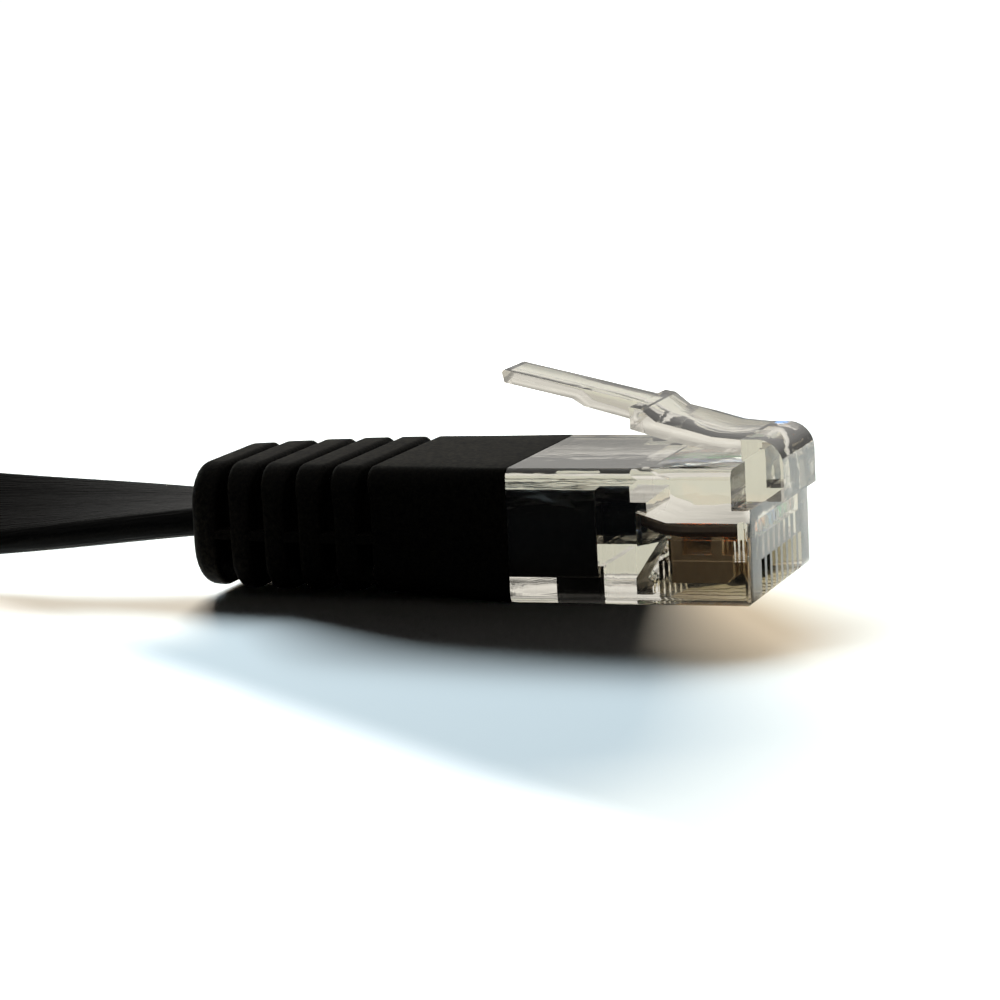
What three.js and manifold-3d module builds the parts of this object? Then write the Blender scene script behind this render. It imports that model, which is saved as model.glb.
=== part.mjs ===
import * as THREE from "three";
import { mergeVertices } from "three/addons/utils/BufferGeometryUtils.js";
import Module from "manifold-3d";

const wasm = await Module();
wasm.setup();

// Sizes in millimetres. The plug's own frame has x = 0 on its nose face, +x out of the nose,
// y across the contacts with the first one at -y, and z = 0 on its underside.

// Clear plug body
const plugWidth = 11.68;
const plugHeight = 6.6;
const plugLength = 12.04;
const longEdgeRadius = 0.5;
const noseEdgeRadius = 0.42;

// Latch root on the nose, and the notches beside it
const rootWidth = 6.22;
const rootFront = 1.04;
const rootRear = -1.0;
const rootBottom = 4.65;
const rootTop = 7.65;
const rootRadius = 1.3;
const notchDepth = 0.85;

// Latch lever, as heights of its top and underside at stations along the plug
const leverGap = 0.12;
const leverTop = [[-2.44, 7.78], [-3.7, 8.13], [-5.2, 8.5], [-5.95, 9.12], [-6.5, 9.22]];
const leverUnderside = [[-6.5, 8.14], [-4.9, 7.66], [-3.4, 7.3], [-2.2, 7.08]];
const leverRootTop = 7.64;
const leverRootUnderside = 6.98;
const handleWidth = 3.2;
const handleOutline = [
  [-5.0, 8.2], [-6.4, 9.24], [-9.66, 10.02], [-13.3, 10.87], [-13.42, 10.75],
  [-13.3, 10.22], [-9.84, 9.42], [-9.25, 9.04], [-6.5, 8.3], [-5.0, 7.9],
];

// Contacts and their slots
const contactCount = 8;
const contactPitch = 1.02;
const contactThickness = 0.35;
const contactRear = -4.3;
const contactFront = -1.25;
const contactBottom = 0.95;
const contactShoulder = 2.3;
const prongTop = 3.36;
const prongWidth = 0.55;
const frontProngRear = -2.3;
const slotWidth = 0.62;
const slotRear = -4.9;
const slotTop = 2.0;
const pocketClearance = 0.04;

// Wires and the room they run in
const wireDiameter = 0.66;
const wireHeight = 3.45;
const wireFront = -1.0;
const wirePitchInJacket = 0.7;
const wireFanFront = -4.4;
const wireSlotHalfHeight = 0.42;
const wireSlotHalfWidth = 4.15;
const wireEndGap = 0.1;

// Rear cavity, strain-relief window and pressed bar
const cavityFront = -7.75;
const cavityHalfWidth = 4.85;
const cavityBottom = 1.25;
const cavityTop = 5.5;
const jacketRoomHalfWidth = 3.3;
const jacketRoomBottom = 2.72;
const jacketRoomTop = 4.75;
const jacketRoomFront = -5.5;
const lipRoomFront = -6.3;
const windowRear = -10.0;
const windowFront = -7.6;
const windowHalfWidth = 4.2;
const reliefHalfWidth = 3.6;
const reliefSlit = [[-6.1, 0.35], [-5.3, 0.35], [-5.3, 1.0], [-5.5, 1.15], [-4.35, 3.1], [-4.75, 3.1], [-6.1, 1.15]];

// Boot
const seamGap = 0.05;
const tongueClearance = 0.08;
// Each station: distance along, half width, underside, top and corner radius
const bootStations = [
  [-13.5, 5.84, 0.08, 6.6, 0.6], [-16.1, 5.84, 0.24, 6.6, 0.9], [-18.9, 5.84, 0.4, 6.6, 1.1],
  [-20.5, 5.8, 0.36, 6.6, 1.25], [-22.4, 5.68, 0.3, 6.6, 1.4], [-24.4, 5.44, 0.26, 6.58, 1.6],
  [-26.3, 5.1, 0.24, 6.56, 1.7], [-28.2, 4.7, 0.24, 6.52, 1.75], [-28.8, 4.5, 0.42, 6.36, 1.7],
  [-29.3, 3.9, 0.85, 5.9, 1.6],
];
const bootRear = -29.3;
const grooveCount = 5;
const blockRear = -19.1;
const groovePitch = 1.95;
const grooveWidth = 0.78;
const grooveDepth = 1.1;
const webBottom = 2.85;
const webTop = 3.3;
const webRecess = 0.1;

// Flat cable
const cableWidth = 6.0;
const cableThickness = 1.5;
const cableEdgeRadius = 0.6;
const cableClearance = 0.06;
const jacketEnd = -6.2;
const jacketEndHeight = 3.73;
const exitHeight = 3.35;

// The cable turns on edge, runs into a round coil and ends at the far plug in the coil's bore.
const twistLength = 42;
const riseStart = 14;
const sagDepth = 0.2;
const leadInLength = 44.83;
const coilOuterRadius = 39.5;
const coilPitch = 2.2;
const coilTurns = 4.25;
const coilBottom = 0.8;
const coilGap = 0.3;
const endBendRadius = 14;
const endStraight = 3;

// Strap round the coil
const strapThickness = 0.6;
const strapWidth = 8;
const strapClearance = 0.2;
const strapAngle = -75;

const nearShift = (-bootRear - rootFront) / 2;
const coilInnerRadius = coilOuterRadius - coilPitch * coilTurns;
const coilX = nearShift + bootRear - leadInLength;
const coilY = -coilOuterRadius;
const coilHeight = coilBottom + cableWidth / 2;

const clearPlastic = { color: 0xd8d6cc, roughness: 0.08, metalness: 0, transparent: true, opacity: 0.45 };
const blackPlastic = { color: 0x0c0c0d, roughness: 0.62, metalness: 0 };
const blackJacket = { color: 0x0a0b0d, roughness: 0.38, metalness: 0 };
const goldPlate = { color: 0xc89a4a, roughness: 0.28, metalness: 1 };
const strapFabric = { color: 0x141416, roughness: 0.85, metalness: 0 };
const wireColours = [0xe9b98a, 0xd9691e, 0xa9d1a2, 0x2e5fae, 0xa9bfe0, 0x2f8a43, 0xc3a48c, 0x6f4426];

// Solids and meshes

function solidFrom(geometry) {
  const bare = geometry.clone();
  bare.deleteAttribute("normal");
  bare.deleteAttribute("uv");
  const merged = mergeVertices(bare, 1e-4);
  const solid = new wasm.Manifold(
    new wasm.Mesh({
      numProp: 3,
      vertProperties: new Float32Array(merged.attributes.position.array),
      triVerts: new Uint32Array(merged.index.array),
    }),
  );
  return solid;
}

function geometryFrom(solid) {
  const made = solid.getMesh();
  const shape = new THREE.BufferGeometry();
  const points = new Float32Array(made.numVert * 3);
  for (let i = 0; i < made.numVert; i++) {
    for (let k = 0; k < 3; k++) points[3 * i + k] = made.vertProperties[made.numProp * i + k];
  }
  shape.setAttribute("position", new THREE.BufferAttribute(points, 3));
  shape.setIndex(new THREE.BufferAttribute(new Uint32Array(made.triVerts), 1));
  const flat = shape.toNonIndexed();
  flat.computeVertexNormals();
  return flat;
}

function addMesh(group, name, geometry, finish) {
  const mesh = new THREE.Mesh(geometry, new THREE.MeshStandardMaterial(finish));
  mesh.name = name;
  group.add(mesh);
}

function outline(points) {
  return new THREE.Shape(points.map(([a, b]) => new THREE.Vector2(a, b)));
}

function roundedRectangle(low, high, radius) {
  const [a0, b0] = low;
  const [a1, b1] = high;
  const shape = new THREE.Shape();
  shape.moveTo(a0 + radius, b0);
  shape.lineTo(a1 - radius, b0);
  shape.absarc(a1 - radius, b0 + radius, radius, -Math.PI / 2, 0, false);
  shape.lineTo(a1, b1 - radius);
  shape.absarc(a1 - radius, b1 - radius, radius, 0, Math.PI / 2, false);
  shape.lineTo(a0 + radius, b1);
  shape.absarc(a0 + radius, b1 - radius, radius, Math.PI / 2, Math.PI, false);
  shape.lineTo(a0, b0 + radius);
  shape.absarc(a0 + radius, b0 + radius, radius, Math.PI, 1.5 * Math.PI, false);
  return shape;
}

// A section in (y, z) drawn out along x
function alongX(shape, from, to, curveSegments = 3) {
  const made = new THREE.ExtrudeGeometry(shape, { depth: to - from, bevelEnabled: false, curveSegments });
  const turn = new THREE.Matrix4().makeBasis(
    new THREE.Vector3(0, 1, 0),
    new THREE.Vector3(0, 0, 1),
    new THREE.Vector3(1, 0, 0),
  );
  return made.applyMatrix4(turn).translate(from, 0, 0);
}

// A side view in (x, z) drawn out along y, the same to each side
function alongY(shape, width, middle = 0, curveSegments = 3) {
  const made = new THREE.ExtrudeGeometry(shape, { depth: width, bevelEnabled: false, curveSegments });
  return made.rotateX(Math.PI / 2).translate(0, middle + width / 2, 0);
}

// A plan in (x, y) drawn up along z
function alongZ(shape, from, to, curveSegments = 3) {
  const made = new THREE.ExtrudeGeometry(shape, { depth: to - from, bevelEnabled: false, curveSegments });
  return made.translate(0, 0, from);
}

function block(x0, x1, y0, y1, z0, z1) {
  const made = new THREE.BoxGeometry(x1 - x0, y1 - y0, z1 - z0);
  return solidFrom(made.translate((x0 + x1) / 2, (y0 + y1) / 2, (z0 + z1) / 2));
}

function contactY(index) {
  return (index - (contactCount - 1) / 2) * contactPitch;
}

// Clear body with its cavities

function housingBlank() {
  const half = plugWidth / 2;
  const section = alongX(roundedRectangle([-half, 0], [half, plugHeight], longEdgeRadius), -plugLength, 0);
  const plan = new THREE.Shape();
  plan.moveTo(-plugLength - 1, -half);
  plan.lineTo(-noseEdgeRadius, -half);
  plan.absarc(-noseEdgeRadius, -half + noseEdgeRadius, noseEdgeRadius, -Math.PI / 2, 0, false);
  plan.absarc(-noseEdgeRadius, half - noseEdgeRadius, noseEdgeRadius, 0, Math.PI / 2, false);
  plan.lineTo(-plugLength - 1, half);
  const side = new THREE.Shape();
  side.moveTo(-plugLength - 1, 0);
  side.lineTo(-noseEdgeRadius, 0);
  side.absarc(-noseEdgeRadius, noseEdgeRadius, noseEdgeRadius, -Math.PI / 2, 0, false);
  side.lineTo(0, plugHeight);
  side.lineTo(-plugLength - 1, plugHeight);
  return solidFrom(section)
    .intersect(solidFrom(alongZ(plan, 0, plugHeight)))
    .intersect(solidFrom(alongY(side, plugWidth)));
}

function latchRoot() {
  const side = new THREE.Shape();
  side.moveTo(rootRear - 0.4, rootBottom);
  side.lineTo(rootFront, rootBottom);
  side.lineTo(rootFront, rootTop - rootRadius);
  side.absarc(rootFront - rootRadius, rootTop - rootRadius, rootRadius, 0, Math.PI / 2, false);
  side.lineTo(rootRear, rootTop);
  side.lineTo(rootRear, plugHeight - 0.2);
  side.lineTo(rootRear - 0.4, plugHeight - 0.2);
  return solidFrom(alongY(side, rootWidth, 0, 5));
}

function notches() {
  const half = plugWidth / 2;
  const side = [-1, 1].map((way) => {
    const from = way < 0 ? -half - 1 : rootWidth / 2;
    const to = way < 0 ? -rootWidth / 2 : half + 1;
    return block(-notchDepth, 1, from, to, rootBottom, plugHeight + 1);
  });
  return side[0].add(side[1]);
}

function cableRoom() {
  const rear = block(-plugLength - 1, cavityFront, -cavityHalfWidth, cavityHalfWidth, cavityBottom, cavityTop);
  const half = jacketRoomHalfWidth;
  const jacket = block(cavityFront - 0.5, jacketRoomFront, -half, half, jacketRoomBottom, jacketRoomTop);
  const lip = block(cavityFront - 0.5, lipRoomFront, -half, half, jacketRoomTop - 0.3, cavityTop);
  const window = block(windowRear, windowFront, -windowHalfWidth, windowHalfWidth, -1, cavityBottom + 0.5);
  return rear.add(jacket).add(lip).add(window);
}

function wireRoom() {
  const low = wireHeight - wireSlotHalfHeight;
  const high = wireHeight + wireSlotHalfHeight;
  const front = wireFront + wireEndGap;
  const side = outline([
    [jacketRoomFront - 0.4, jacketRoomBottom], [wireFanFront, low], [front, low], [front, high],
    [wireFanFront, high], [jacketRoomFront - 0.4, jacketRoomTop - 0.4],
  ]);
  return solidFrom(alongY(side, 2 * wireSlotHalfWidth));
}

function contactSlots() {
  let all = null;
  for (let i = 0; i < contactCount; i++) {
    const y = contactY(i);
    const open = block(slotRear, 1, y - slotWidth / 2, y + slotWidth / 2, -1, slotTop);
    const half = contactThickness / 2 + pocketClearance;
    const rear = contactRear - 0.1;
    const front = contactFront + 0.1;
    const pocket = block(rear, front, y - half, y + half, slotTop - 0.2, wireHeight);
    const both = open.add(pocket);
    all = all ? all.add(both) : both;
  }
  return all;
}

function housing() {
  const relief = solidFrom(alongY(outline(reliefSlit), 2 * reliefHalfWidth));
  return housingBlank()
    .subtract(notches())
    .add(latchRoot())
    .subtract(cableRoom())
    .subtract(wireRoom())
    .subtract(contactSlots())
    .subtract(relief);
}

// Latch lever

function latch() {
  const front = rootRear - leverGap;
  const wide = outline([[front, leverRootTop], ...leverTop, ...leverUnderside, [front, leverRootUnderside]]);
  const handle = outline(handleOutline);
  return solidFrom(alongY(wide, rootWidth)).add(solidFrom(alongY(handle, handleWidth)));
}

// Contact blade with two prongs

function contactOutline() {
  return outline([
    [contactRear, contactBottom], [contactFront - 0.35, contactBottom], [contactFront, contactBottom + 0.35],
    [contactFront, contactShoulder], [frontProngRear + prongWidth, contactShoulder],
    [frontProngRear + prongWidth, prongTop - 0.2], [frontProngRear + prongWidth / 2, prongTop],
    [frontProngRear, prongTop - 0.2], [frontProngRear, contactShoulder],
    [contactRear + prongWidth, contactShoulder], [contactRear + prongWidth, prongTop - 0.2],
    [contactRear + prongWidth / 2, prongTop], [contactRear, prongTop - 0.2],
  ]);
}

function contact(index) {
  return solidFrom(alongY(contactOutline(), contactThickness, contactY(index)));
}

// Insulated wire, slotted where the contact's prongs bite

function wire(index) {
  const rank = index - (contactCount - 1) / 2;
  const start = new THREE.Vector3(jacketEnd + wireEndGap, rank * wirePitchInJacket, jacketEndHeight);
  const fanned = new THREE.Vector3(wireFanFront, contactY(index), wireHeight);
  const finish = new THREE.Vector3(wireFront, contactY(index), wireHeight);
  const path = new THREE.CatmullRomCurve3([start, fanned, finish], false, "centripetal");
  const section = new THREE.Shape().absarc(0, 0, wireDiameter / 2, 0, 2 * Math.PI, false);
  const round = new THREE.ExtrudeGeometry(section, { steps: 6, extrudePath: path, curveSegments: 4 });
  const half = contactThickness / 2 + pocketClearance;
  const y = contactY(index);
  const bites = [contactRear, frontProngRear].map((rear) =>
    block(rear - 0.05, rear + prongWidth + 0.05, y - half, y + half, 0, prongTop + 0.05),
  );
  return solidFrom(round).subtract(bites[0]).subtract(bites[1]);
}

// Boot with its grooves and the tongue in the plug's rear cavity

function bootSections() {
  return [[-plugLength - seamGap, plugWidth / 2, 0, plugHeight, longEdgeRadius], ...bootStations];
}

function bootHull() {
  const stations = bootSections();
  const steps = stations.length - 1;
  const share = 0.5;
  const unit = roundedRectangle([-1, -1], [1, 1], share);
  const made = new THREE.ExtrudeGeometry(unit, { depth: steps, steps, bevelEnabled: false, curveSegments: 3 });
  const points = made.attributes.position;
  const cornered = (value, half, radius) => {
    const inCorner = (Math.abs(value) - (1 - share)) / share;
    return Math.sign(value) * (half - radius + radius * inCorner);
  };
  for (let i = 0; i < points.count; i++) {
    const [x, half, bottom, top, radius] = stations[Math.round(points.getZ(i))];
    const z = (bottom + top) / 2 + cornered(points.getY(i), (top - bottom) / 2, radius);
    points.setXYZ(i, x, -cornered(points.getX(i), half, radius), z);
  }
  return solidFrom(made);
}

function bootAt(x) {
  const stations = bootSections();
  const held = Math.min(Math.max(x, bootRear), stations[0][0] - 0.01);
  const after = stations.findIndex(([at]) => at <= held);
  const [x0, half0, low0, high0] = stations[after - 1];
  const [x1, half1, low1, high1] = stations[after];
  const share = (held - x0) / (x1 - x0);
  const mix = (a, b) => a + (b - a) * share;
  return { half: mix(half0, half1), bottom: mix(low0, low1), top: mix(high0, high1) };
}

function groove(index) {
  const middle = blockRear - grooveWidth / 2 - index * groovePitch;
  const { half, bottom, top } = bootAt(middle);
  const from = middle - grooveWidth / 2;
  const to = middle + grooveWidth / 2;
  const core = roundedRectangle(
    [-half + grooveDepth, bottom + grooveDepth],
    [half - grooveDepth, top - grooveDepth],
    longEdgeRadius,
  );
  const slab = block(from, to, -half - 1, half + 1, bottom - 1, top + 1);
  const web = block(from - 1, to + 1, -half + webRecess, half - webRecess, webBottom, webTop);
  return slab.subtract(solidFrom(alongX(core, from - 1, to + 1))).subtract(web);
}

function tongue() {
  const gap = tongueClearance;
  const front = cavityFront - gap;
  const rear = -plugLength - seamGap - 1;
  const half = cavityHalfWidth - gap;
  const main = block(rear, front, -half, half, cavityBottom + gap, cavityTop - gap);
  const lipHalf = jacketRoomHalfWidth - gap;
  const lip = block(front - 1, lipRoomFront - gap, -lipHalf, lipHalf, jacketRoomTop, cavityTop - gap);
  const lugHalf = windowHalfWidth - gap;
  const lug = block(windowRear + gap, front, -lugHalf, lugHalf, 3 * gap, cavityBottom + 1);
  return main.add(lip).add(lug);
}

function boot() {
  let made = bootHull();
  for (let i = 0; i < grooveCount; i++) made = made.subtract(groove(i));
  return made.add(tongue()).subtract(solidFrom(cableInPlug(cableClearance, 1)));
}

// Flat cable: a straight flat strip laid along a path, with its roll about the path

function cableSection(extra = 0) {
  const a = cableWidth / 2 + extra;
  const b = cableThickness / 2 + extra;
  return roundedRectangle([-a, -b], [a, b], cableEdgeRadius + extra);
}

function laidStrip(shape, steps, placeAt) {
  const made = new THREE.ExtrudeGeometry(shape, { depth: 1, steps, bevelEnabled: false, curveSegments: 2 });
  const points = made.attributes.position;
  const up = new THREE.Vector3(0, 0, 1);
  for (let i = 0; i < points.count; i++) {
    const { at, heading, roll } = placeAt(points.getZ(i));
    const left = new THREE.Vector3().crossVectors(up, heading);
    const across = left.clone().multiplyScalar(Math.cos(roll)).addScaledVector(up, -Math.sin(roll));
    const through = up.clone().multiplyScalar(Math.cos(roll)).addScaledVector(left, Math.sin(roll));
    const point = at.clone().addScaledVector(across, points.getX(i)).addScaledVector(through, points.getY(i));
    points.setXYZ(i, point.x, point.y, point.z);
  }
  return made;
}

function heightInPlug(x) {
  return exitHeight + ((jacketEndHeight - exitHeight) * (x - bootRear)) / (jacketEnd - bootRear);
}

// The cable's room inside the boot and plug, or the jacket there, in the plug's frame
function cableInPlug(extra, overrun) {
  const from = jacketEnd + overrun;
  const to = bootRear - overrun;
  return laidStrip(cableSection(extra), 1, (t) => {
    const x = from + (to - from) * t;
    return { at: new THREE.Vector3(x, 0, heightInPlug(x)), heading: new THREE.Vector3(-1, 0, 0), roll: 0 };
  });
}

function smooth(t) {
  const held = Math.min(Math.max(t, 0), 1);
  return held * held * (3 - 2 * held);
}

function coilRing(gap) {
  const inner = coilInnerRadius - cableThickness / 2 - gap;
  const outer = coilOuterRadius + cableThickness / 2 + gap;
  const low = coilBottom - gap;
  const high = coilBottom + cableWidth + gap;
  const profile = [[inner, low], [outer, low], [outer, high], [inner, high], [inner, low]];
  const ring = new THREE.LatheGeometry(profile.map(([r, h]) => new THREE.Vector2(r, h)), 56);
  return solidFrom(ring.rotateX(Math.PI / 2).translate(coilX, coilY, 0));
}

// From the boot the cable sags a little, then rises to the coil as it turns on edge.
function leadInHeight(run) {
  const sag = sagDepth * Math.sin(Math.PI * Math.min(run / (2 * riseStart), 1)) ** 2;
  return exitHeight - sag + (coilHeight - exitHeight) * smooth((run - riseStart) / (twistLength - riseStart));
}

function cableNear() {
  const exit = nearShift + bootRear;
  const inside = jacketEnd - bootRear;
  const total = inside + leadInLength;
  const heading = new THREE.Vector3(-1, 0, 0);
  const strip = laidStrip(cableSection(), 18, (t) => {
    const run = t * total - inside;
    const z = run < 0 ? heightInPlug(bootRear - run) : leadInHeight(run);
    const roll = (Math.PI / 2) * Math.min(Math.max(run / twistLength, 0), 1);
    return { at: new THREE.Vector3(exit - run, 0, z), heading, roll };
  });
  return solidFrom(strip).subtract(coilRing(coilGap));
}

const farPlugY = coilY - endBendRadius;
const farBootX = coilX - coilInnerRadius + endBendRadius + endStraight;
const farShift = farBootX - bootRear;

// The far plug lies on its side: its width stands up and its latch points away from the coil's middle.
function toFarPlug() {
  const placed = new THREE.Matrix4().makeBasis(
    new THREE.Vector3(1, 0, 0),
    new THREE.Vector3(0, 0, 1),
    new THREE.Vector3(0, -1, 0),
  );
  return placed.setPosition(farShift, farPlugY + exitHeight, plugWidth / 2);
}

function cableFar() {
  const bend = (endBendRadius * Math.PI) / 2;
  const inside = jacketEnd - bootRear;
  const total = bend + endStraight + inside;
  const pivot = new THREE.Vector3(coilX - coilInnerRadius + endBendRadius, coilY, 0);
  const strip = laidStrip(cableSection(), 22, (t) => {
    const run = t * total;
    const z = coilHeight + (plugWidth / 2 - coilHeight) * smooth(run / bend);
    if (run < bend) {
      const angle = run / endBendRadius;
      const at = new THREE.Vector3(
        pivot.x - endBendRadius * Math.cos(angle),
        pivot.y - endBendRadius * Math.sin(angle),
        z,
      );
      return { at, heading: new THREE.Vector3(Math.sin(angle), -Math.cos(angle), 0), roll: Math.PI / 2 };
    }
    const x = pivot.x + run - bend;
    const inPlug = Math.max(x - farBootX, 0);
    const y = farPlugY + exitHeight - heightInPlug(bootRear + inPlug);
    return { at: new THREE.Vector3(x, y, z), heading: new THREE.Vector3(1, 0, 0), roll: Math.PI / 2 };
  });
  return solidFrom(strip).subtract(coilRing(coilGap));
}

function strap() {
  const sag = coilOuterRadius - Math.sqrt(coilOuterRadius ** 2 - (strapWidth / 2) ** 2);
  const inner = coilInnerRadius - cableThickness / 2 - strapClearance - sag;
  const outer = coilOuterRadius + cableThickness / 2 + strapClearance;
  const low = strapThickness;
  const high = coilBottom + cableWidth + strapClearance;
  const edge = strapThickness;
  const band = roundedRectangle([inner - edge, low - edge], [outer + edge, high + edge], edge);
  band.holes.push(outline([[inner, low], [inner, high], [outer, high], [outer, low]]));
  const made = alongY(band, strapWidth);
  made.rotateZ((strapAngle * Math.PI) / 180);
  return made.translate(coilX, coilY, 0);
}

// Assembly

function addPlug(group, side, place) {
  const put = (name, solid, finish) => {
    addMesh(group, `${side}_${name}`, geometryFrom(solid).applyMatrix4(place), finish);
  };
  put("housing", housing(), clearPlastic);
  put("latch", latch(), clearPlastic);
  put("boot", boot(), blackPlastic);
  for (let i = 0; i < contactCount; i++) {
    put(`contact_${i + 1}`, contact(i), goldPlate);
    put(`wire_${i + 1}`, wire(i), { color: wireColours[i], roughness: 0.45, metalness: 0 });
  }
}

const lead = new THREE.Group();
lead.name = "flat_patch_lead";
addPlug(lead, "near", new THREE.Matrix4().makeTranslation(nearShift, 0, 0));
addPlug(lead, "far", toFarPlug());
addMesh(lead, "cable_near", geometryFrom(cableNear()), blackJacket);
addMesh(lead, "cable_coil", geometryFrom(coilRing(0)), blackJacket);
addMesh(lead, "cable_far", geometryFrom(cableFar()), blackJacket);
addMesh(lead, "coil_strap", geometryFrom(solidFrom(strap())), strapFabric);

export default lead;
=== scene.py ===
"""A flat network patch lead: a clear plug with a sprung latch, a ribbed black boot and a flat black cable.

Sizes are millimetres, unless a comment says otherwise, and angles in tables are degrees. In the plug's
own frame x = 0 is its nose face, +x points out of the nose, y runs across the contacts and z = 0 is its
underside.
"""

import math

import bmesh
import bpy
from mathutils import Matrix, Vector


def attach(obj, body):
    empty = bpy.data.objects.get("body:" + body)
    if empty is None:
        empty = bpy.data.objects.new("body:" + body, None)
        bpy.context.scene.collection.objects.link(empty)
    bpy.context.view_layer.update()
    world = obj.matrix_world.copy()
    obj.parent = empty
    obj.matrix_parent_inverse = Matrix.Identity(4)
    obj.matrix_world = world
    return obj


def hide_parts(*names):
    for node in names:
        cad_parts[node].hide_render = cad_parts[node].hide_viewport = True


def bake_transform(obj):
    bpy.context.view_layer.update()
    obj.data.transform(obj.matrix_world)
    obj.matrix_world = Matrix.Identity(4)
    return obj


MM = 0.001

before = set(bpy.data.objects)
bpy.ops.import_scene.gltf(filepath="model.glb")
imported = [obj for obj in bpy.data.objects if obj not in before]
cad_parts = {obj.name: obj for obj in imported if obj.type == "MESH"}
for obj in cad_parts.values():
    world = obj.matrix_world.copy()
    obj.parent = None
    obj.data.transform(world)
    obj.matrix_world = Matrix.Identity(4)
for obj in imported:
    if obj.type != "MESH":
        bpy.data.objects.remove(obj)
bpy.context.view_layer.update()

# Plug and boot

PLUG_WIDTH = 11.68
PLUG_HEIGHT = 6.6
ROOT_FRONT = 1.04
BOOT_FRONT = -12.09
BOOT_REAR = -29.3
EXIT_HEIGHT = 3.35
JACKET_END = -6.2
JACKET_END_HEIGHT = 3.73

# Flat cable: it turns onto its edge before the coil, and bends back to the far plug in the coil's bore

CABLE_WIDTH = 6.0
CABLE_THICKNESS = 1.5
CABLE_CORNER = 0.66
HOLLOW_COUNT = 4
HOLLOW_DEPTH = 0.035
TWIST_LENGTH = 42.0
RISE_START = 14.0
SAG_DEPTH = 0.2
LEAD_IN = 44.83
COIL_OUTER = 39.5
COIL_PITCH = 2.2
COIL_TURNS = 4.25
COIL_BOTTOM = 0.8
END_BEND = 14.0
END_STRAIGHT = 3.0
LEAD_IN_STEPS = 48
STEPS_A_TURN = 64
END_STEPS = 20

NEAR_SHIFT = (-BOOT_REAR - ROOT_FRONT) / 2
COIL_INNER = COIL_OUTER - COIL_PITCH * COIL_TURNS
COIL_X = NEAR_SHIFT + BOOT_REAR - LEAD_IN
COIL_Y = -COIL_OUTER
COIL_HEIGHT = COIL_BOTTOM + CABLE_WIDTH / 2
END_BEND_X = COIL_X - COIL_INNER + END_BEND
FAR_Y = COIL_Y - END_BEND
FAR_SHIFT = END_BEND_X + END_STRAIGHT - BOOT_REAR

# The near plug stands on its underside, and the far plug lies on its side

NEAR_PLACE = Matrix.Translation((NEAR_SHIFT, 0, 0))
FAR_PLACE = Matrix(
    (
        (1, 0, 0, FAR_SHIFT),
        (0, 0, -1, FAR_Y + EXIT_HEIGHT),
        (0, 1, 0, PLUG_WIDTH / 2),
        (0, 0, 0, 1),
    )
)
PLUGS = (("near", NEAR_PLACE), ("far", FAR_PLACE))


# Mesh helpers


def smooth(t):
    t = min(max(t, 0.0), 1.0)
    return t * t * (3 - 2 * t)


def mesh_piece(name, points, faces, place=Matrix.Identity(4), uvs=None):
    """A mesh from points in millimetres, placed by a millimetre matrix, with all its faces outward."""
    mesh = bpy.data.meshes.new(name)
    mesh.from_pydata([MM * (place @ Vector(p)) for p in points], [], faces)
    if uvs is not None:
        layer = mesh.uv_layers.new(name="along_across")
        for loop in mesh.loops:
            layer.data[loop.index].uv = uvs[loop.vertex_index]
    mesh.update()
    piece = bpy.data.objects.new(name, mesh)
    bpy.context.scene.collection.objects.link(piece)
    outward(piece)
    return piece


def rings_to_mesh(rings):
    """Points and faces of a closed skin over rings that all have the same number of points."""
    count = len(rings[0])
    points = [p for ring in rings for p in ring]
    faces = []
    for i in range(len(rings) - 1):
        for j in range(count):
            k = (j + 1) % count
            a, b = i * count, (i + 1) * count
            faces.append((a + j, a + k, b + k, b + j))
    faces.append(tuple(range(count - 1, -1, -1)))
    faces.append(tuple((len(rings) - 1) * count + j for j in range(count)))
    return points, faces


def outward(piece):
    work = bmesh.new()
    work.from_mesh(piece.data)
    bmesh.ops.recalc_face_normals(work, faces=work.faces)
    work.to_mesh(piece.data)
    work.free()


def apply_modifiers(piece):
    depsgraph = bpy.context.evaluated_depsgraph_get()
    mesh = bpy.data.meshes.new_from_object(piece.evaluated_get(depsgraph))
    piece.modifiers.clear()
    piece.data = mesh


def smooth_by_angle(piece, degrees):
    """Smooth shading, with edges sharper than the angle kept crisp."""
    work = bmesh.new()
    work.from_mesh(piece.data)
    limit = math.radians(degrees)
    for face in work.faces:
        face.smooth = True
    for edge in work.edges:
        edge.smooth = not (len(edge.link_faces) == 2 and edge.calc_face_angle(0) > limit)
    work.to_mesh(piece.data)
    work.free()


def bevel_edges(piece, width, segments, degrees):
    """Rounds the edges that are sharper than the angle."""
    bevel = piece.modifiers.new("edge", "BEVEL")
    bevel.width = width * MM
    bevel.segments = segments
    bevel.limit_method = "ANGLE"
    bevel.angle_limit = math.radians(degrees)
    bevel.harden_normals = False
    apply_modifiers(piece)


def rounded_rectangle(half_a, half_b, radius, arc, flats):
    """Points of a rounded rectangle about the origin, with each corner and each flat side in equal steps."""
    radius = min(radius, half_a, half_b)
    corners = ((1, -1, -90), (1, 1, 0), (-1, 1, 90), (-1, -1, 180))
    points = []
    for sign_a, sign_b, start in corners:
        centre = (sign_a * (half_a - radius), sign_b * (half_b - radius))
        for i in range(arc + 1):
            turn = math.radians(start + 90 * i / arc)
            points.append((centre[0] + radius * math.cos(turn), centre[1] + radius * math.sin(turn)))
    filled = []
    for i, point in enumerate(points):
        filled.append(point)
        after = points[(i + 1) % len(points)]
        if (i + 1) % (arc + 1) == 0:
            for k in range(1, flats):
                share = k / flats
                filled.append(tuple(point[n] + (after[n] - point[n]) * share for n in (0, 1)))
    return filled


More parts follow.
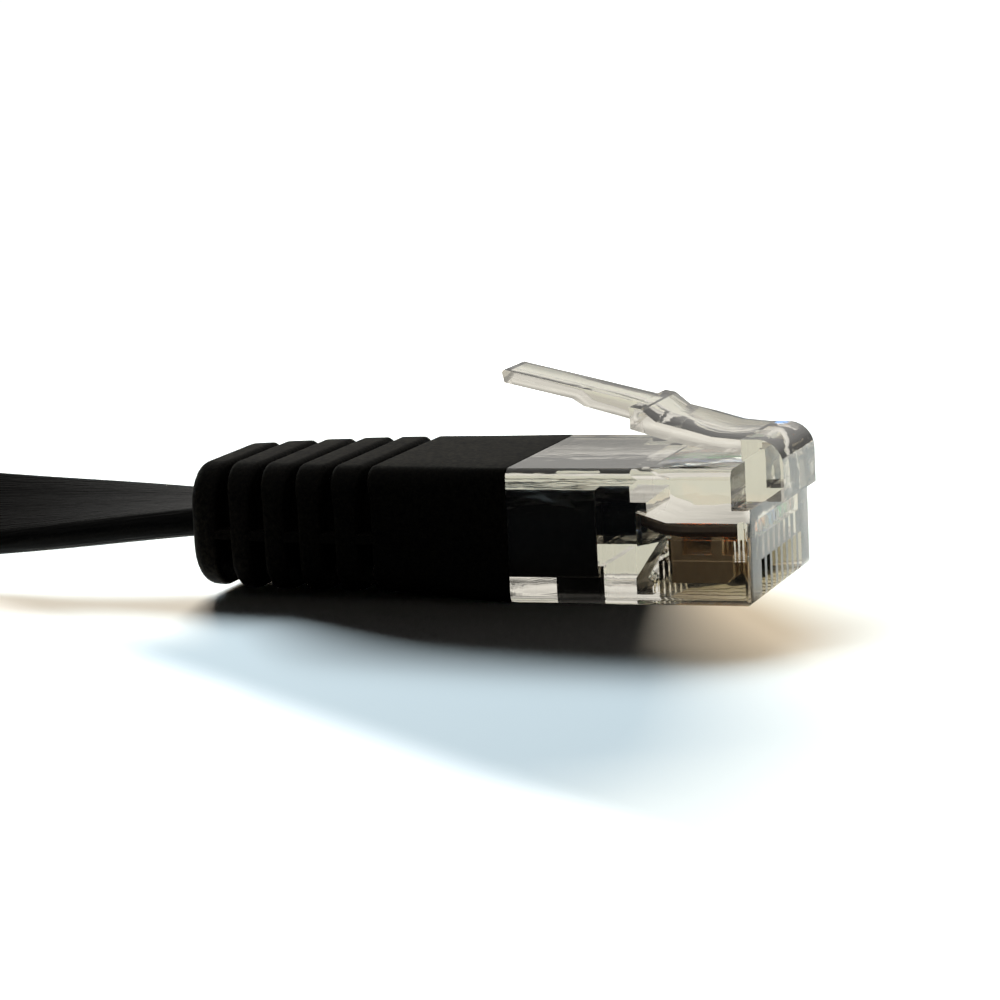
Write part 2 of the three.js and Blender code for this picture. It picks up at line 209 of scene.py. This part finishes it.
def add_box(points, faces, x0, x1, y0, y1, z0, z1):
    start = len(points)
    points += [(x, y, z) for x in (x0, x1) for y in (y0, y1) for z in (z0, z1)]
    for quad in ((0, 1, 3, 2), (4, 6, 7, 5), (0, 4, 5, 1), (2, 3, 7, 6), (0, 2, 6, 4), (1, 5, 7, 3)):
        faces.append(tuple(start + i for i in quad))


# Node helpers


class Nodes:
    """A small builder for one node tree."""

    def __init__(self, tree):
        self.tree = tree

    def add(self, kind, **settings):
        node = self.tree.nodes.new(kind)
        for name, value in settings.items():
            setattr(node, name, value)
        return node

    def feed(self, socket, value):
        """Gives a socket another node's output, or a plain number, direction or colour."""
        if isinstance(value, bpy.types.NodeSocket):
            self.tree.links.new(value, socket)
        elif socket.type == "RGBA":
            socket.default_value = (*value, 1)
        else:
            socket.default_value = value

    def feed_all(self, node, values):
        for name, value in values.items():
            self.feed(node.inputs[name], value)

    def calculate(self, operation, *values):
        node = self.add("ShaderNodeMath", operation=operation)
        for socket, value in zip(node.inputs, values):
            self.feed(socket, value)
        return node.outputs["Value"]

    def measure(self, operation, *places):
        """A number from one or two places, such as a length or a distance."""
        node = self.add("ShaderNodeVectorMath", operation=operation)
        for socket, place in zip(node.inputs, places):
            self.feed(socket, place)
        return node.outputs["Value"]

    def smooth_ramp(self, source, start, end, low=0.0, high=1.0):
        ramp = self.add("ShaderNodeMapRange", interpolation_type="SMOOTHSTEP")
        values = {"Value": source, "From Min": start, "From Max": end, "To Min": low, "To Max": high}
        self.feed_all(ramp, values)
        return ramp.outputs["Result"]

    def mix_colours(self, factor, first, second):
        mix = self.add("ShaderNodeMix", data_type="RGBA")
        self.feed_all(mix, {"Factor": factor, "A": first, "B": second})
        return mix.outputs["Result"]

    def object_place(self):
        return self.add("ShaderNodeTexCoord").outputs["Object"]

    def grain(self, scale, detail, stretch=(1, 1, 1), place=None):
        """Noise from 0 to 1, over the object's own coordinates in cycles a metre, or over a given place."""
        group = self.add("ShaderNodeGroup", node_tree=GRAIN)
        if place is None:
            place = self.object_place()
        self.feed_all(group, {"Place": place, "Stretch": stretch, "Scale": scale, "Detail": detail})
        return group.outputs["Grain"]

    def bump(self, height, depth, strength):
        bump = self.add("ShaderNodeBump")
        self.feed_all(bump, {"Height": height, "Distance": depth * MM, "Strength": strength})
        return bump.outputs["Normal"]


def grain_group():
    """The fine unevenness of a moulded, drawn or woven surface."""
    tree = bpy.data.node_groups.new("grain", "ShaderNodeTree")
    inputs = (("Place", "Vector"), ("Stretch", "Vector"), ("Scale", "Float"), ("Detail", "Float"))
    for name, kind in inputs:
        tree.interface.new_socket(name, in_out="INPUT", socket_type="NodeSocket" + kind)
    tree.interface.new_socket("Grain", in_out="OUTPUT", socket_type="NodeSocketFloat")
    nodes = Nodes(tree)
    given = nodes.add("NodeGroupInput").outputs
    mapping = nodes.add("ShaderNodeMapping")
    nodes.feed_all(mapping, {"Vector": given["Place"], "Scale": given["Stretch"]})
    noise = nodes.add("ShaderNodeTexNoise")
    values = {"Vector": mapping.outputs["Vector"], "Scale": given["Scale"], "Detail": given["Detail"]}
    nodes.feed_all(noise, values)
    nodes.feed(nodes.add("NodeGroupOutput").inputs["Grain"], noise.outputs["Fac"])
    return tree


GRAIN = grain_group()

# Materials


def new_material(name):
    material = bpy.data.materials.new(name)
    material.use_nodes = True
    return material, Nodes(material.node_tree), material.node_tree.nodes["Principled BSDF"]


def clear_plastic():
    """Clear moulding with faint ripples, which lets the light through to what is behind it."""
    material, nodes, shader = new_material("clear_plastic")
    ripples = nodes.grain(450, 3, (0.5, 1, 1))
    values = {
        "Base Color": (0.93, 0.905, 0.84),
        "Roughness": 0.03,
        "IOR": 1.56,
        "Transmission Weight": 1.0,
        "Normal": nodes.bump(ripples, 0.08, 0.5),
    }
    nodes.feed_all(shader, values)
    passing = nodes.add("ShaderNodeBsdfTransparent")
    nodes.feed(passing.inputs["Color"], (0.997, 0.992, 0.984))
    mix = nodes.add("ShaderNodeMixShader")
    path = nodes.add("ShaderNodeLightPath")
    nodes.feed(mix.inputs[0], path.outputs["Is Shadow Ray"])
    nodes.feed(mix.inputs[1], shader.outputs["BSDF"])
    nodes.feed(mix.inputs[2], passing.outputs["BSDF"])
    nodes.feed(material.node_tree.nodes["Material Output"].inputs["Surface"], mix.outputs["Shader"])
    return material


def boot_plastic():
    """Dull black moulding with a finely pitted skin and pale specks."""
    material, nodes, shader = new_material("boot_plastic")
    specks = nodes.add("ShaderNodeMapRange")
    nodes.feed_all(specks, {"Value": nodes.grain(4200, 3), "From Min": 0.35, "From Max": 0.68})
    black, speck = (0.0012, 0.0012, 0.0014), (0.0125, 0.0112, 0.009)
    values = {
        "Base Color": nodes.mix_colours(specks.outputs["Result"], black, speck),
        "Roughness": 0.6,
        "Specular IOR Level": 0.025,
        "Normal": nodes.bump(nodes.grain(5200, 3), 0.04, 0.4),
    }
    nodes.feed_all(shader, values)
    return material


def shaded_tongue_plastic():
    """The boot's plastic inside the plug: smooth, and without the pale specks, as painted shade."""
    material, nodes, shader = new_material("boot_plastic_painted_shade")
    # Painted shade: the boot's black without its pale specks, so the tongue reads as shaded.
    values = {"Base Color": (0.0012, 0.0014, 0.0017), "Roughness": 0.5, "Specular IOR Level": 0.05}
    nodes.feed_all(shader, values)
    return material


def cable_jacket():
    """Black jacket with fine lines along it, from its drawing through the die."""
    material, nodes, shader = new_material("cable_jacket")
    along = nodes.add("ShaderNodeUVMap", uv_map="along_across").outputs["UV"]
    lines = nodes.grain(9, 3, (0.06, 1, 1), along)
    values = {
        "Base Color": nodes.mix_colours(lines, (0.0014, 0.0017, 0.0021), (0.0042, 0.0043, 0.0046)),
        "Roughness": 0.36,
        "Specular IOR Level": 0.035,
        "Normal": nodes.bump(lines, 0.12, 0.6),
    }
    nodes.feed_all(shader, values)
    return material


def contact_gold():
    material, nodes, shader = new_material("contact_gold")
    colour = nodes.mix_colours(nodes.grain(2500, 2), (0.66, 0.46, 0.27), (0.86, 0.68, 0.46))
    nodes.feed_all(shader, {"Base Color": colour, "Metallic": 1.0, "Roughness": 0.24})
    return material


def wire_insulation(name, colour):
    material, nodes, shader = new_material("wire_" + name)
    darker = tuple(0.8 * c for c in colour)
    tone = nodes.mix_colours(nodes.grain(1800, 2), darker, colour)
    nodes.feed_all(shader, {"Base Color": tone, "Roughness": 0.42})
    return material


def strap_fabric():
    material, nodes, shader = new_material("strap_fabric")
    weave = nodes.grain(3600, 2, (1, 1, 3))
    values = {
        "Base Color": nodes.mix_colours(weave, (0.012, 0.012, 0.014), (0.035, 0.035, 0.038)),
        "Roughness": 0.88,
        "Normal": nodes.bump(weave, 0.15, 0.8),
    }
    nodes.feed_all(shader, values)
    return material


WIRE_COLOURS = (
    ("white_orange", (0.86, 0.55, 0.35)),
    ("orange", (0.75, 0.22, 0.03)),
    ("white_green", (0.5, 0.72, 0.48)),
    ("blue", (0.06, 0.2, 0.55)),
    ("white_blue", (0.5, 0.6, 0.82)),
    ("green", (0.05, 0.35, 0.1)),
    ("white_brown", (0.6, 0.45, 0.34)),
    ("brown", (0.24, 0.11, 0.05)),
)

CLEAR = clear_plastic()
BOOT = boot_plastic()
TONGUE = shaded_tongue_plastic()
JACKET = cable_jacket()
GOLD = contact_gold()
STRAP = strap_fabric()
WIRES = {name: wire_insulation(name, colour) for name, colour in WIRE_COLOURS}


def dress(piece, material):
    piece.data.materials.clear()
    piece.data.materials.append(material)
    return piece


# Camera, as the photo was taken

RIGHT = Vector((0.946917, 0.318057, -0.046778))
UP = Vector((-0.006976, 0.165802, 0.986134))
BACK = Vector((0.321403, -0.933461, 0.159219))
EYE = Vector((58.9966, -171.9916, 33.446))
LENS = 133.22
SENSOR = 36.0
CLIP_START = 5.0
CLIP_END = 20000.0

camera_data = bpy.data.cameras.new("camera")
camera_data.lens = LENS
camera_data.sensor_width = SENSOR
camera_data.sensor_height = SENSOR
camera_data.clip_start = CLIP_START * MM
camera_data.clip_end = CLIP_END * MM
camera_data.dof.use_dof = False
camera = bpy.data.objects.new("camera", camera_data)
bpy.context.scene.collection.objects.link(camera)
camera.matrix_world = Matrix(
    (
        (RIGHT.x, UP.x, BACK.x, MM * EYE.x),
        (RIGHT.y, UP.y, BACK.y, MM * EYE.y),
        (RIGHT.z, UP.z, BACK.z, MM * EYE.z),
        (0, 0, 0, 1),
    )
)
bpy.context.scene.camera = camera


# Flat cable: each station is its centre, its heading and how far it is rolled from flat to edge

ON_EDGE = math.pi / 2
UP_AXIS = Vector((0, 0, 1))


def lead_in_point(run):
    """A station at a distance from the near boot."""
    share = min(run / TWIST_LENGTH, 1.0)
    sag = SAG_DEPTH * math.sin(math.pi * min(run / (2 * RISE_START), 1.0)) ** 2
    rise = smooth((run - RISE_START) / (TWIST_LENGTH - RISE_START))
    z = EXIT_HEIGHT - sag + (COIL_HEIGHT - EXIT_HEIGHT) * rise
    return Vector((NEAR_SHIFT + BOOT_REAR - run, 0, z)), Vector((-1, 0, 0)), share * ON_EDGE


def coil_point(turned):
    """A station of the coil, by the angle turned since the cable joined it."""
    radius = COIL_OUTER - COIL_PITCH * turned / (2 * math.pi)
    angle = math.pi / 2 + turned
    at = Vector((COIL_X + radius * math.cos(angle), COIL_Y + radius * math.sin(angle), COIL_HEIGHT))
    return at, Vector((-math.sin(angle), math.cos(angle), 0)), ON_EDGE


def end_point(run):
    """A station of the bend and the straight from the coil's last turn to the far boot."""
    bend = END_BEND * math.pi / 2
    z = COIL_HEIGHT + (PLUG_WIDTH / 2 - COIL_HEIGHT) * smooth(run / bend)
    if run < bend:
        angle = run / END_BEND
        at = Vector((END_BEND_X - END_BEND * math.cos(angle), COIL_Y - END_BEND * math.sin(angle), z))
        return at, Vector((math.sin(angle), -math.cos(angle), 0)), ON_EDGE
    return Vector((END_BEND_X + run - bend, FAR_Y, z)), Vector((1, 0, 0)), ON_EDGE


def cable_route():
    """Every station of the cable from the near boot to the far one."""
    stations = [lead_in_point(LEAD_IN * i / LEAD_IN_STEPS) for i in range(LEAD_IN_STEPS)]
    steps = round(STEPS_A_TURN * COIL_TURNS)
    stations += [coil_point(2 * math.pi * COIL_TURNS * i / steps) for i in range(steps)]
    total = END_BEND * math.pi / 2 + END_STRAIGHT
    stations += [end_point(total * i / END_STEPS) for i in range(END_STEPS + 1)]
    return stations


def cable_section():
    """A flat section with four shallow lengthwise hollows on each side."""
    half = CABLE_WIDTH / 2
    section = []
    for a, b in rounded_rectangle(half, CABLE_THICKNESS / 2, CABLE_CORNER, arc=4, flats=10):
        wave = math.cos(2 * math.pi * (a + half) / (CABLE_WIDTH / HOLLOW_COUNT))
        hollow = HOLLOW_DEPTH * (0.5 - 0.5 * wave)
        flat = abs(b) > CABLE_THICKNESS / 2 - 1e-6
        section.append((a, b - math.copysign(hollow, b) if flat else b))
    return section


def swept_cable(name, stations):
    section = cable_section()
    rings, uvs, run = [], [], 0.0
    for i, (at, heading, roll) in enumerate(stations):
        if i:
            run += (at - stations[i - 1][0]).length
        left = UP_AXIS.cross(heading)
        across = left * math.cos(roll) - UP_AXIS * math.sin(roll)
        through = UP_AXIS * math.cos(roll) + left * math.sin(roll)
        rings.append([at + across * a + through * b for a, b in section])
        uvs += [(run, a) for a, b in section]
    points, faces = rings_to_mesh(rings)
    piece = mesh_piece(name, points, faces, uvs=uvs)
    smooth_by_angle(piece, 50)
    return dress(piece, JACKET)


route = cable_route()
cable = swept_cable("cable", route)
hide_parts("cable_near", "cable_coil", "cable_far")
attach(cable, "lead")

JACKET_STATIONS = (-14.0, -12.0, -9.0, JACKET_END)
JACKET_CORNER = 0.6


def jacket_height(x):
    """The height of the jacket's middle, which climbs evenly from the boot's rear to the jacket's end."""
    return EXIT_HEIGHT + (JACKET_END_HEIGHT - EXIT_HEIGHT) * (x - BOOT_REAR) / (JACKET_END - BOOT_REAR)


def make_jacket_end(side, place):
    """The jacket from inside the boot to its cut end in the plug."""
    section = rounded_rectangle(CABLE_WIDTH / 2, CABLE_THICKNESS / 2, JACKET_CORNER, arc=4, flats=4)
    rings = [[(x, a, jacket_height(x) + b) for a, b in section] for x in JACKET_STATIONS]
    points, faces = rings_to_mesh(rings)
    uvs = [(p[0], p[1]) for p in points]
    piece = mesh_piece(side + "_jacket_end", points, faces, place, uvs)
    smooth_by_angle(piece, 50)
    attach(dress(piece, JACKET), "lead")
    return piece


# Boot: its outline as x, half width, bottom and top, and then its grooves and edges

BOOT_STATIONS = (
    (BOOT_FRONT, PLUG_WIDTH / 2, 0.0, PLUG_HEIGHT),
    (-13.5, PLUG_WIDTH / 2, 0.08, PLUG_HEIGHT),
    (-18.9, PLUG_WIDTH / 2, 0.4, PLUG_HEIGHT),
    (-20.5, 5.8, 0.36, PLUG_HEIGHT),
    (-22.4, 5.68, 0.3, PLUG_HEIGHT),
    (-24.4, 5.44, 0.26, 6.58),
    (-26.3, 5.1, 0.24, 6.56),
    (-28.2, 4.7, 0.24, 6.52),
    (BOOT_REAR, 4.45, 0.3, 6.48),
)
FRONT_EDGE = ((0.0, 0.06), (0.05, 0.015), (0.13, 0.0))
BLOCK_STATIONS = (-13.5, -15.5, -17.5)
BLOCK_REAR = -19.1
GROOVE_COUNT = 5
GROOVE_PITCH = 1.95
GROOVE_WIDTH = 0.78
GROOVE_DEPTH = 1.1
GROOVE_CORNER = 0.08
GROOVE_CORNER_SHARE = 0.7
GROOVE_NARROWING = 0.75
GROOVES = [BLOCK_REAR - GROOVE_WIDTH / 2 - GROOVE_PITCH * i for i in range(GROOVE_COUNT)]
RIB_ROUNDING = 0.26
RIB_STEPS = 5
END_ROUNDING = 0.8
END_ROUNDING_STEPS = 8
CORNER_AT_FRONT = 0.5
CORNER_GAIN_BEHIND_FRONT = 0.4
CORNER_GAIN_TO_REAR = 0.85
CORNER_LOSS_IN_GROOVE = 0.3
SMALLEST_CORNER = 0.3
FRONT_CHANGE = (-12.1, 4.0)
REAR_CHANGE = (-15.0, 13.0)
TOP_CHANGE_START = 0.35
TOP_CHANGE_REACH = 0.6
SIDE_BULGE = 0.12
WEB_BOTTOM = 2.85
WEB_TOP = 3.3
WEB_OVERLAP = 0.1
WEB_ROOT = 0.3
WEB_SETBACK = 0.02


def boot_at(x):
    """Half width, bottom and top of the boot's outline."""
    for (x0, *first), (x1, *second) in zip(BOOT_STATIONS, BOOT_STATIONS[1:]):
        if x1 <= x <= x0:
            share = (x - x0) / (x1 - x0)
            return [a + (b - a) * share for a, b in zip(first, second)]
    return list(BOOT_STATIONS[-1][1:])


def changed(x, change):
    """How much of a change is done at x, by where it starts and how long it is."""
    start, reach = change
    return smooth((start - x) / reach)


def quarter_round(radius, steps):
    """Pairs of distance and inset down a quarter round edge."""
    pairs = []
    for i in range(steps + 1):
        t = radius * math.sin(math.pi / 2 * i / steps)
        pairs.append((t, radius - math.sqrt(max(radius * radius - t * t, 0.0))))
    return pairs


def boot_profile():
    """Stations along the boot as x and the inset of the skin."""
    profile = [(BOOT_FRONT - back, inset) for back, inset in FRONT_EDGE]
    profile += [(x, 0.0) for x in BLOCK_STATIONS]
    rounding = quarter_round(RIB_ROUNDING, RIB_STEPS)
    shoulder = GROOVE_CORNER_SHARE * GROOVE_DEPTH
    for middle in GROOVES:
        front = middle + GROOVE_WIDTH / 2
        rear = middle - GROOVE_WIDTH / 2
        profile += [(front + RIB_ROUNDING - t, inset) for t, inset in rounding]
        profile += [(front, shoulder), (front - GROOVE_CORNER, GROOVE_DEPTH)]
        profile += [(rear + GROOVE_CORNER, GROOVE_DEPTH), (rear, shoulder)]
        profile += [(rear - RIB_ROUNDING + t, inset) for t, inset in reversed(rounding)]
    end_rounding = quarter_round(END_ROUNDING, END_ROUNDING_STEPS)
    return profile + [(BOOT_REAR + END_ROUNDING - t, inset) for t, inset in end_rounding]


def narrowed(x, share):
    """Draws a station toward the nearest groove's middle, so that the grooves are narrower on the top."""
    middle = min(GROOVES, key=lambda groove: abs(groove - x))
    reach = GROOVE_PITCH / 2
    offset = (x - middle) / reach
    if abs(offset) >= 1:
        return x
    return middle + reach * math.copysign(abs(offset) ** (1 + GROOVE_NARROWING * share), offset)


def boot_ring(x, inset):
    half, low, high = boot_at(x)
    middle = (low + high) / 2
    tall = (high - low) / 2
    rear_share = changed(x, REAR_CHANGE)
    radius = CORNER_AT_FRONT + CORNER_GAIN_BEHIND_FRONT * changed(x, FRONT_CHANGE)
    radius += CORNER_GAIN_TO_REAR * rear_share - CORNER_LOSS_IN_GROOVE * inset
    section = rounded_rectangle(half - inset, tall - inset, max(radius, SMALLEST_CORNER), arc=6, flats=5)
    ring = []
    for a, b in section:
        on_side = abs(a) > 0.5 * half
        bulge = SIDE_BULGE * rear_share * math.copysign(1 - (b / tall) ** 2, a) * on_side
        top_share = smooth((b / tall - TOP_CHANGE_START) / TOP_CHANGE_REACH)
        ring.append((narrowed(x, top_share), a + bulge, middle + b))
    return ring


def make_boot(side, place):
    """The ribbed body, with a web across each groove on both sides."""
    points, faces = rings_to_mesh([boot_ring(x, inset) for x, inset in boot_profile()])
    reach = GROOVE_WIDTH / 2 + WEB_OVERLAP
    for middle in GROOVES:
        half = boot_at(middle)[0]
        for way in (-1, 1):
            low, high = sorted((way * (half - GROOVE_DEPTH - WEB_ROOT), way * (half - WEB_SETBACK)))
            add_box(points, faces, middle - reach, middle + reach, low, high, WEB_BOTTOM, WEB_TOP)
    piece = mesh_piece(side + "_boot_body", points, faces, place)
    smooth_by_angle(piece, 48)
    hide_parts(side + "_boot")
    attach(dress(piece, BOOT), "lead")
    return piece


# The tongue's block, its upper lip and the lug in the window: rear and front x, half width, bottom and top

TONGUE_BLOCKS = (
    (-12.08, -7.83, 4.77, 1.33, 5.42),
    (-7.83, -6.38, 3.22, 4.75, 5.42),
    (-9.92, -7.83, 4.12, 0.24, 1.33),
)


def make_tongue(side, place):
    """The boot's tongue in the plug's rear cavity."""
    points, faces = [], []
    for rear, front, half, bottom, top in TONGUE_BLOCKS:
        add_box(points, faces, rear, front, -half, half, bottom, top)
    piece = mesh_piece(side + "_boot_tongue", points, faces, place)
    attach(dress(piece, TONGUE), "lead")
    return piece


# Clear plug and latch


def make_clear_body(side):
    """The clear moulding: the solid's own shape, with its flat faces made whole."""
    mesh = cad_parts[side + "_housing"].data.copy()
    piece = bpy.data.objects.new(side + "_clear_body", mesh)
    bpy.context.scene.collection.objects.link(piece)
    work = bmesh.new()
    work.from_mesh(mesh)
    bmesh.ops.remove_doubles(work, verts=work.verts, dist=0.002 * MM)
    bmesh.ops.dissolve_limit(work, angle_limit=math.radians(1), verts=work.verts, edges=work.edges)
    work.to_mesh(mesh)
    work.free()
    outward(piece)
    smooth_by_angle(piece, 35)
    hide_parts(side + "_housing")
    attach(dress(piece, CLEAR), "lead")
    return piece


LEVER_SIDE = (
    (-1.01, 7.64), (-2.44, 7.78), (-3.7, 8.13), (-5.2, 8.5), (-5.95, 9.12), (-6.5, 9.22),
    (-6.5, 8.14), (-4.9, 7.66), (-3.4, 7.3), (-2.2, 7.08), (-1.01, 6.98),
)
HANDLE_SIDE = (
    (-5.0, 8.2), (-6.4, 9.24), (-9.66, 10.02), (-13.3, 10.87), (-13.42, 10.75),
    (-13.3, 10.22), (-9.84, 9.42), (-9.25, 9.04), (-6.5, 8.3), (-5.0, 7.9),
)
LEVER_HALF_WIDTH = 3.11
HANDLE_HALF_WIDTH = 1.6
LATCH_EDGE = 0.16


def slab_from_side(name, side_view, half_width, place):
    """A slab across the plug whose outline is given as x and z."""
    count = len(side_view)
    points = [(x, y, z) for y in (-half_width, half_width) for x, z in side_view]
    faces = [tuple(range(count)), tuple(range(2 * count - 1, count - 1, -1))]
    for i in range(count):
        j = (i + 1) % count
        faces.append((i, j, count + j, count + i))
    return mesh_piece(name, points, faces, place)


def make_latch(side, place):
    """The wide lever and its narrow handle in one piece, from its root on the nose."""
    lever = slab_from_side(side + "_latch_lever", LEVER_SIDE, LEVER_HALF_WIDTH, place)
    handle = slab_from_side(side + "_handle", HANDLE_SIDE, HANDLE_HALF_WIDTH, place)
    join = lever.modifiers.new("join", "BOOLEAN")
    join.operation = "UNION"
    join.solver = "EXACT"
    join.object = handle
    apply_modifiers(lever)
    bpy.data.objects.remove(handle)
    bevel_edges(lever, LATCH_EDGE, segments=3, degrees=35)
    smooth_by_angle(lever, 40)
    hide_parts(side + "_latch")
    dress(lever, CLEAR)
    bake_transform(lever)
    return lever


def dress_contacts_and_wires(side):
    """The solids' own contacts and wires. They throw no shadow, as light goes round them in the plug."""
    dressed = []
    for i, (colour_name, insulation) in enumerate(WIRES.items(), start=1):
        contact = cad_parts[f"{side}_contact_{i}"]
        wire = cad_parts[f"{side}_wire_{i}"]
        dress(contact, GOLD)
        dress(wire, insulation)
        contact.visible_shadow = False
        wire.visible_shadow = False
        dressed += [contact, wire]
    return dressed


def make_plug(side, place):
    made = [
        make_boot(side, place),
        make_tongue(side, place),
        make_clear_body(side),
        make_latch(side, place),
        make_jacket_end(side, place),
    ]
    return made + dress_contacts_and_wires(side)


plug_pieces = {side: make_plug(side, place) for side, place in PLUGS}
strap = dress(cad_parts["coil_strap"], STRAP)

# Floor: past the plug's own shadow the paper glows with painted light, an emission that blows it out to
# white and hides other cast shadows there, such as the coil's. Each pair of distances is where a change
# starts and where it is complete.

FLOOR_SIZE = 6000.0
FLOOR_DROP = 0.02
PAINTED_GLOW_WAY = (-0.652, -0.758, 0)
PAINTED_GLOW_THAT_WAY = (20, 26)
PAINTED_GLOW_ALL_ROUND = (58, 85)
SHADOWED_SPOT = (2, -36, 0)
CLEAR_OF_SPOT = (27, 36)


def in_metres(sizes):
    return tuple(MM * size for size in sizes)


def where_glow_is_painted(nodes):
    """1 where the paper glows with painted light, lower left of the plug's shadow and far off, and 0 near
    it.
    """
    place = nodes.object_place()
    along = nodes.measure("DOT_PRODUCT", place, PAINTED_GLOW_WAY)
    away = nodes.measure("LENGTH", place)
    that_way = nodes.smooth_ramp(along, *in_metres(PAINTED_GLOW_THAT_WAY))
    all_round = nodes.smooth_ramp(away, *in_metres(PAINTED_GLOW_ALL_ROUND))
    return nodes.calculate("MAXIMUM", that_way, all_round)


def clear_of_shadow(nodes):
    """0 on the shadowed floor before the plug, painted dark in what its side and insides mirror, and 1
    elsewhere.
    """
    away = nodes.measure("DISTANCE", nodes.object_place(), in_metres(SHADOWED_SPOT))
    return nodes.smooth_ramp(away, *in_metres(CLEAR_OF_SPOT))


def floor_material():
    """White as the camera sees it, and painted dimmer in what the object mirrors and lets through."""
    material, nodes, shader = new_material("pale_floor")
    path = nodes.add("ShaderNodeLightPath")
    through, seen = path.outputs["Is Transmission Ray"], path.outputs["Is Camera Ray"]
    # Painted glow: the floor emits light where this mask is 1, which blows it out and hides cast shadows
    # there.
    bright = where_glow_is_painted(nodes)
    open_floor = clear_of_shadow(nodes)
    # Seen through the glass, the floor has a set painted tone: dim grey, or a painted glow where the paper
    # glows.
    behind_glass = nodes.mix_colours(bright, (0.41, 0.39, 0.345), (0, 0, 0))
    # In reflections the floor is painted a dimmer white than the camera sees.
    indirect = nodes.mix_colours(through, (0.8, 0.79, 0.76), behind_glass)
    # Painted shade: the floor is near black in what the plug mirrors and lets through on the spot before it.
    off_camera_with_painted_shade = nodes.mix_colours(open_floor, (0.008, 0.009, 0.011), indirect)
    shining = nodes.calculate("MAXIMUM", nodes.calculate("MULTIPLY", through, open_floor), seen)
    values = {
        "Base Color": nodes.mix_colours(seen, off_camera_with_painted_shade, (0.9, 0.9, 0.9)),
        "Roughness": 0.8,
        "Specular IOR Level": 0.05,
        # Through the glass the painted glow has a set, dimmer painted tone.
        "Emission Color": nodes.mix_colours(through, (1, 1, 1), (0.57, 0.55, 0.495)),
        # The painted glow shows to the camera and, off the painted-shade spot, through the glass.
        "Emission Strength": nodes.calculate("MULTIPLY", bright, shining),
    }
    nodes.feed_all(shader, values)
    return material


bpy.ops.mesh.primitive_plane_add(size=FLOOR_SIZE * MM, location=(0, 0, -FLOOR_DROP * MM))
floor = bpy.context.object
floor.name = "floor"
floor.data.materials.append(floor_material())

# Light: azimuth 0 is straight behind the object, and a negative one is toward the cable. A lamp's width and
# height are the angles that it fills, and its power is in watts.

LAMP_DISTANCE = 700.0
LAMPS = (
    {
        "name": "low_warm_light", "azimuth": -21.5, "elevation": 8.6,
        "wide": 18, "tall": 3, "power": 26.0, "colour": (1.0, 0.9, 0.74),
    },
    {
        "name": "high_cool_light", "azimuth": -45, "elevation": 17.0,
        "wide": 24, "tall": 4, "power": 15.0, "colour": (0.82, 1.0, 1.09),
    },
)


def window_light(name, azimuth, elevation, wide, tall, power, colour):
    """A broad low window far off."""
    distance = LAMP_DISTANCE * MM
    data = bpy.data.lights.new(name, "AREA")
    data.shape = "RECTANGLE"
    data.size = 2 * distance * math.tan(math.radians(wide / 2))
    data.size_y = 2 * distance * math.tan(math.radians(tall / 2))
    data.energy = power
    data.color = colour
    lamp = bpy.data.objects.new(name, data)
    bpy.context.scene.collection.objects.link(lamp)
    a, e = math.radians(azimuth), math.radians(elevation)
    toward = Vector((math.sin(a) * math.cos(e), math.cos(a) * math.cos(e), math.sin(e)))
    lamp.location = distance * toward
    lamp.rotation_euler = toward.to_track_quat("Z", "Y").to_euler()
    lamp.visible_glossy = False
    lamp.visible_transmission = False


for lamp_values in LAMPS:
    window_light(**lamp_values)

SURROUNDINGS_COLOUR = (1, 0.975, 0.92)
BAND_STRENGTH = 0.36


def soft_surroundings():
    """What the object mirrors: a bright low band behind it and a pale sky, and little from anywhere else."""
    world = bpy.data.worlds.new("surroundings")
    world.use_nodes = True
    world.cycles_visibility.diffuse = False
    bpy.context.scene.world = world
    nodes = Nodes(world.node_tree)
    axes = nodes.add("ShaderNodeSeparateXYZ")
    nodes.feed(axes.inputs["Vector"], nodes.add("ShaderNodeTexCoord").outputs["Generated"])
    behind = nodes.smooth_ramp(axes.outputs["Y"], -0.2, 0.7)
    low_down = nodes.smooth_ramp(axes.outputs["Z"], 0.15, 0.5, 1.0, 0.12)
    overhead = nodes.smooth_ramp(axes.outputs["Z"], 0.06, 0.35, 0.01, 0.7)
    band = nodes.calculate("MULTIPLY", behind, low_down)
    strength = nodes.calculate("MULTIPLY_ADD", band, BAND_STRENGTH, overhead)
    background = world.node_tree.nodes["Background"]
    nodes.feed_all(background, {"Color": SURROUNDINGS_COLOUR, "Strength": strength})


soft_surroundings()
bpy.context.scene.view_settings.view_transform = "Standard"
bpy.context.scene.cycles.caustics_refractive = False
bpy.context.scene.cycles.caustics_reflective = False
bpy.context.scene.cycles.transparent_max_bounces = 64
